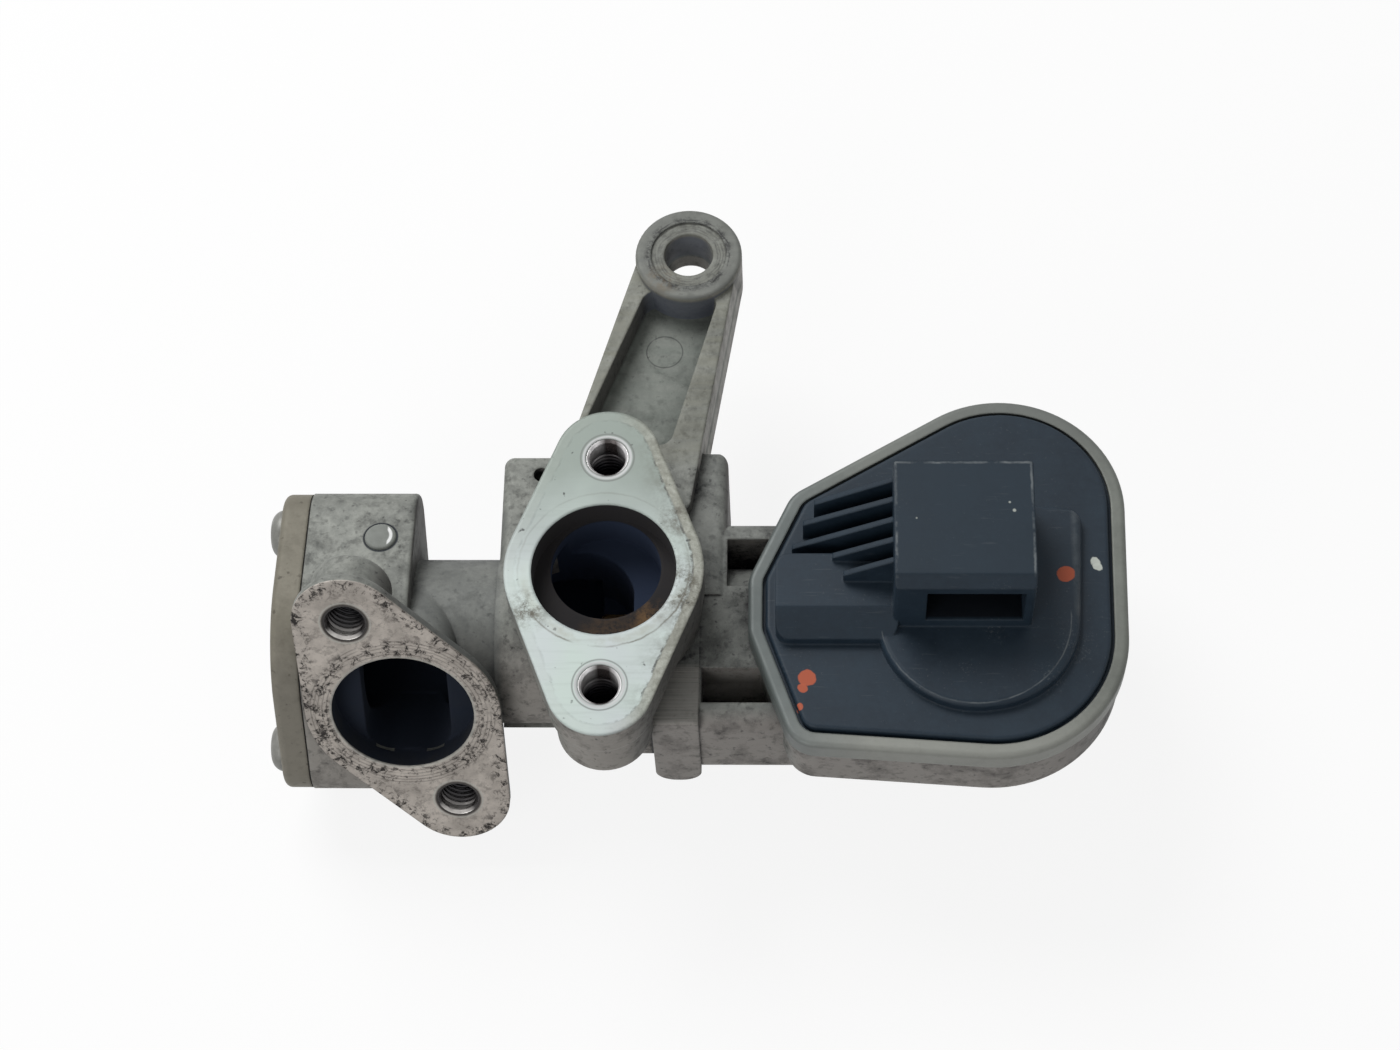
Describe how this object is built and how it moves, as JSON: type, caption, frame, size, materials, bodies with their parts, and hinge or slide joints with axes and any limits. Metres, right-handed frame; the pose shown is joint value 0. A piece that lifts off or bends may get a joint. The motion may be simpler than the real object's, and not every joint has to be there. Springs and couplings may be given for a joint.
{
  "type": "exhaust gas recirculation valve",
  "caption": "Exhaust gas recirculation valve: cast two-port body with bracket arm, poppet on a sliding stem, geared motor actuator with spiral cam and plug socket",
  "frame": {"origin": "centre of the outlet bore on its flange face", "axes": "+Z out of the outlet bore, +X along the valve stem towards the actuator, +Y towards the bracket arm"},
  "size_m": [0.1647, 0.1213, 0.0619],
  "materials": {
    "cast_aluminium": "die-cast, sooty and lightly oxidised, machined faces brighter",
    "housing_aluminium": "die-cast, as-cast skin",
    "cover_plate_metal": "cast plate, heat-browned",
    "ring_metal": "rolled sheet, satin",
    "black_plastic": "glass-filled moulding, satin",
    "dark_plastic": "moulded",
    "gear_plastic": "natural moulded nylon",
    "steel": "turned or rolled steel",
    "seat_steel": "heat-stained stainless",
    "spring_steel": "oiled spring wire",
    "bronze": "sintered bronze",
    "brass": "turned or tinned brass",
    "gasket_sheet": "coated fibre sheet",
    "seal_rubber": "moulded rubber",
    "magnet": "ferrite",
    "board": "circuit board"
  },
  "bodies": {
    "root": {"valve_body": "cast_aluminium", "end_cover": "cover_plate_metal", "end_cover_gasket": "gasket_sheet", "end_cover_screws": "steel", "core_plug": "steel", "valve_seat": "seat_steel", "stem_bush": "bronze", "stem_seal": "seal_rubber", "housing_gasket": "gasket_sheet", "actuator_housing": "housing_aluminium", "housing_screws": "steel", "cover_clamp_ring": "ring_metal", "cover_seal": "seal_rubber", "actuator_cover": "black_plastic", "connector_terminals": "brass", "motor_can": "steel", "motor_end_cap": "dark_plastic", "motor_bushes": "bronze", "motor_magnets": "magnet", "motor_plate": "steel", "motor_screws": "steel", "gear_pin": "steel", "idler_pin": "steel", "sensor_board": "board", "spring_seat": "steel", "return_spring": "spring_steel"},
    "drive": {"drive_gear": "gear_plastic", "sensor_magnet": "magnet"},
    "idler": {"idler_gear": "gear_plastic"},
    "rotor": {"motor_shaft": "steel", "motor_pinion": "brass", "armature": "steel"},
    "stem": {"valve_stem": "seat_steel", "poppet": "seat_steel", "spring_retainer": "steel", "retainer_clip": "steel", "crosshead": "dark_plastic", "roller_pin": "steel"},
    "roller": {"cam_roller": "steel"}
  },
  "joints": [
    {"name": "stem_slide", "type": "slide", "parent": "root", "child": "stem", "axis": [-1, 0, 0], "range_m": [0, 0.006], "stiffness_N_per_m": 2500, "springref_m": -0.008, "deforming": ["return_spring"]},
    {"name": "drive_turn", "type": "hinge", "parent": "root", "child": "drive", "pos_m": [0.069, 0, -0.02], "axis": [0, 0, 1], "range_deg": [0, 120]},
    {"name": "idler_turn", "type": "hinge", "parent": "root", "child": "idler", "pos_m": [0.06202, 0.01927, -0.02], "axis": [0, 0, 1], "range_deg": [-495.5, 0]},
    {"name": "rotor_turn", "type": "hinge", "parent": "root", "child": "rotor", "pos_m": [0.076, 0.0225, -0.02], "axis": [0, 0, 1], "range_deg": [0, 2043]},
    {"name": "roller_spin", "type": "hinge", "parent": "stem", "child": "roller", "pos_m": [0.0632, 0, -0.023], "axis": [0, 0, 1], "continuous": true}
  ],
  "couplings": [
    {"joint": "drive_turn", "follows": "stem_slide", "rad_per_m": 349.07},
    {"joint": "idler_turn", "follows": "stem_slide", "rad_per_m": -1439.9},
    {"joint": "rotor_turn", "follows": "stem_slide", "rad_per_m": 5939.6}
  ]
}
